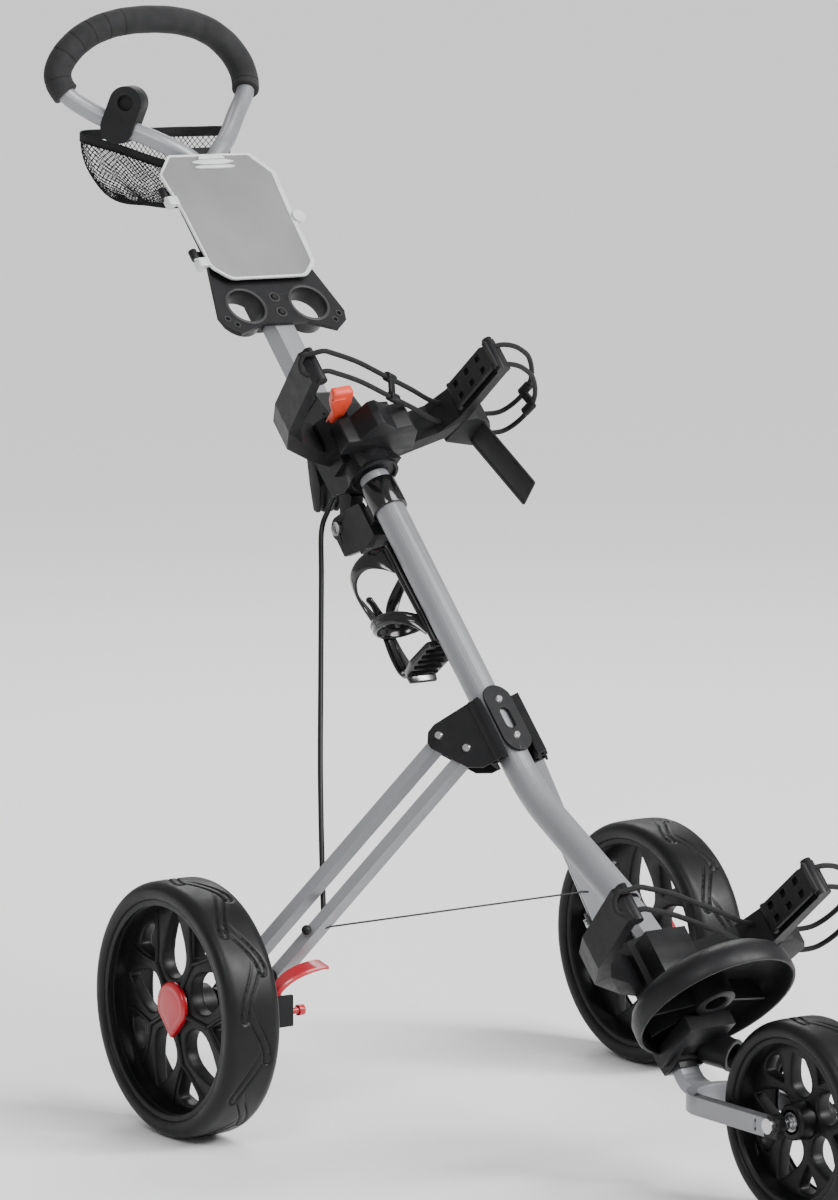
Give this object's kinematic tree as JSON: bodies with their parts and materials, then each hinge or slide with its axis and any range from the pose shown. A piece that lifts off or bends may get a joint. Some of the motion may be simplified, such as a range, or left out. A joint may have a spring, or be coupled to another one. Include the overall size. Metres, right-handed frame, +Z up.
{
  "type": "golf push trolley",
  "caption": "Folding three-wheel golf push trolley with bag cradles, handle loop, bottle cage, scorecard console and a foot brake.",
  "frame": {"origin": "on the ground, under the middle of the cart's length and width", "axes": "+X forward towards the single front wheel, +Y to the cart's left, +Z up"},
  "size_m": [1.3529, 0.698, 1.203],
  "materials": {
    "frame_metal": "satin grey powder coat on aluminium tube",
    "steel": "bright zinc-plated steel",
    "black_plastic": "fine-grained moulded nylon",
    "gloss_black": "smooth glossy moulding",
    "bracket_metal": "black powder coat on pressed steel",
    "tyre_foam": "solid foam tread with hairpin sipes",
    "rim_plastic": "dark grey moulded rim",
    "red_gloss": "glossy translucent-looking red",
    "latch_red": "bright orange-red moulding",
    "grip_foam": "soft closed-cell foam, wrapped in bands",
    "clear_flap": "frosted translucent sheet",
    "net_mesh": "open diamond mesh with a bound hem",
    "elastic_cord": "braided elastic cord",
    "rubber_strap": "moulded rubber strap",
    "cable_sheath": "smooth black cable sheath"
  },
  "bodies": {
    "frame": {"lower_tube": "frame_metal", "fork_frame": "frame_metal", "fork_end_plugs": "black_plastic", "front_axle": "steel", "saddle_plate": "bracket_metal", "frame_screws": "steel", "right_wing": "bracket_metal", "left_wing": "bracket_metal", "wing_pins": "steel", "hinge_block": "black_plastic", "hinge_bolt": "steel", "tube_collar": "gloss_black", "bottle_cage": "gloss_black", "lower_cradle": "black_plastic", "bag_rest": "black_plastic", "lower_bungee": "elastic_cord", "lower_buckle": "rubber_strap", "tension_cable": "cable_sheath", "arm_wire": "steel"},
    "handle": {"upper_tube": "frame_metal", "bracket_body": "black_plastic", "upper_cradle": "black_plastic", "upper_bungee": "elastic_cord", "bungee_joiners": "black_plastic", "upper_buckle": "rubber_strap", "upper_strap": "rubber_strap", "console": "black_plastic", "console_screws": "steel", "handle_loop": "frame_metal", "grip": "grip_foam", "net_bag": "net_mesh", "gadget_holder": "black_plastic"},
    "lever": {"cam_lever": "black_plastic"},
    "button": {"latch_button": "latch_red"},
    "flap": {"card_flap": "clear_flap"},
    "front_wheel": {"front_tyre": "tyre_foam", "front_rim": "rim_plastic", "front_bearings": "steel"},
    "right_upper_arm": {"right_upper_bar": "frame_metal"},
    "right_lower_arm": {"right_lower_bar": "frame_metal", "right_wire_anchor": "black_plastic"},
    "right_foot": {"right_carrier": "black_plastic", "right_carrier_pins": "steel", "right_axle": "steel"},
    "right_wheel": {"right_tyre": "tyre_foam", "right_rim": "rim_plastic", "right_hub_cap": "red_gloss", "right_bearings": "steel"},
    "left_upper_arm": {"left_upper_bar": "frame_metal"},
    "left_lower_arm": {"left_lower_bar": "frame_metal", "left_wire_anchor": "black_plastic"},
    "left_foot": {"left_carrier": "black_plastic", "left_carrier_pins": "steel", "left_axle": "steel"},
    "left_wheel": {"left_tyre": "tyre_foam", "left_rim": "rim_plastic", "left_hub_cap": "red_gloss", "left_bearings": "steel"},
    "brake_pedal": {"brake_pedal": "red_gloss"},
    "brake_pin": {"brake_pin": "red_gloss"}
  },
  "joints": [
    {"name": "handle_fold", "type": "hinge", "parent": "frame", "child": "handle", "pos_m": [-0.24369, 0, 0.62532], "axis": [0, -1, 0], "range_deg": [0, 140]},
    {"name": "cam_lever_throw", "type": "hinge", "parent": "handle", "child": "lever", "pos_m": [-0.30139, 0, 0.71808], "axis": [0, 1, 0], "range_deg": [0, 60]},
    {"name": "latch_press", "type": "slide", "parent": "handle", "child": "button", "axis": [-0.7254, 0, -0.6884], "range_m": [0, 0.003], "stiffness_N_per_m": 300},
    {"name": "flap_open", "type": "hinge", "parent": "handle", "child": "flap", "pos_m": [-0.47131, -0.08, 0.95525], "axis": [0.6884, 0, -0.7254], "range_deg": [0, 110]},
    {"name": "right_arm_fold", "type": "hinge", "parent": "frame", "child": "right_upper_arm", "pos_m": [0.00863, -0.05129, 0.42307], "axis": [0.4426, -0.7923, 0.42], "range_deg": [0, 60], "deforming": ["tension_cable", "arm_wire"]},
    {"name": "right_lower_bar_swing", "type": "hinge", "parent": "frame", "child": "right_lower_arm", "pos_m": [0.04192, -0.03818, 0.41274], "axis": [0.4426, -0.7923, 0.42], "range_deg": [0, 60]},
    {"name": "right_foot_swing", "type": "hinge", "parent": "right_upper_arm", "child": "right_foot", "pos_m": [-0.09577, -0.24144, 0.17438], "axis": [-0.4426, 0.7923, -0.42], "range_deg": [0, 60]},
    {"name": "right_wheel_spin", "type": "hinge", "parent": "right_foot", "child": "right_wheel", "pos_m": [-0.09738, -0.316, 0.14], "axis": [0, 1, 0], "continuous": true},
    {"name": "left_arm_fold", "type": "hinge", "parent": "frame", "child": "left_upper_arm", "pos_m": [0.00863, 0.05129, 0.42307], "axis": [-0.4426, -0.7923, -0.42], "range_deg": [0, 60]},
    {"name": "left_lower_bar_swing", "type": "hinge", "parent": "frame", "child": "left_lower_arm", "pos_m": [0.04192, 0.03818, 0.41274], "axis": [-0.4426, -0.7923, -0.42], "range_deg": [0, 60]},
    {"name": "left_foot_swing", "type": "hinge", "parent": "left_upper_arm", "child": "left_foot", "pos_m": [-0.09577, 0.24144, 0.17438], "axis": [0.4426, 0.7923, 0.42], "range_deg": [0, 60]},
    {"name": "left_wheel_spin", "type": "hinge", "parent": "left_foot", "child": "left_wheel", "pos_m": [-0.09738, 0.316, 0.14], "axis": [0, 1, 0], "continuous": true},
    {"name": "brake_pedal_press", "type": "hinge", "parent": "right_foot", "child": "brake_pedal", "pos_m": [-0.03537, -0.246, 0.152], "axis": [-1, 0, 0], "range_deg": [0, 15]},
    {"name": "brake_pin_slide", "type": "slide", "parent": "right_foot", "child": "brake_pin", "axis": [0, -1, 0], "range_m": [0, 0.01]},
    {"name": "front_wheel_spin", "type": "hinge", "parent": "frame", "child": "front_wheel", "pos_m": [0.57263, 0, 0.104], "axis": [0, 1, 0], "continuous": true}
  ],
  "couplings": [
    {"joint": "left_arm_fold", "follows": "right_arm_fold", "ratio": 1},
    {"joint": "right_lower_bar_swing", "follows": "right_arm_fold", "ratio": 1},
    {"joint": "left_lower_bar_swing", "follows": "right_arm_fold", "ratio": 1},
    {"joint": "right_foot_swing", "follows": "right_arm_fold", "ratio": 1},
    {"joint": "left_foot_swing", "follows": "right_arm_fold", "ratio": 1},
    {"joint": "brake_pin_slide", "follows": "brake_pedal_press", "m_per_rad": 0.038}
  ]
}
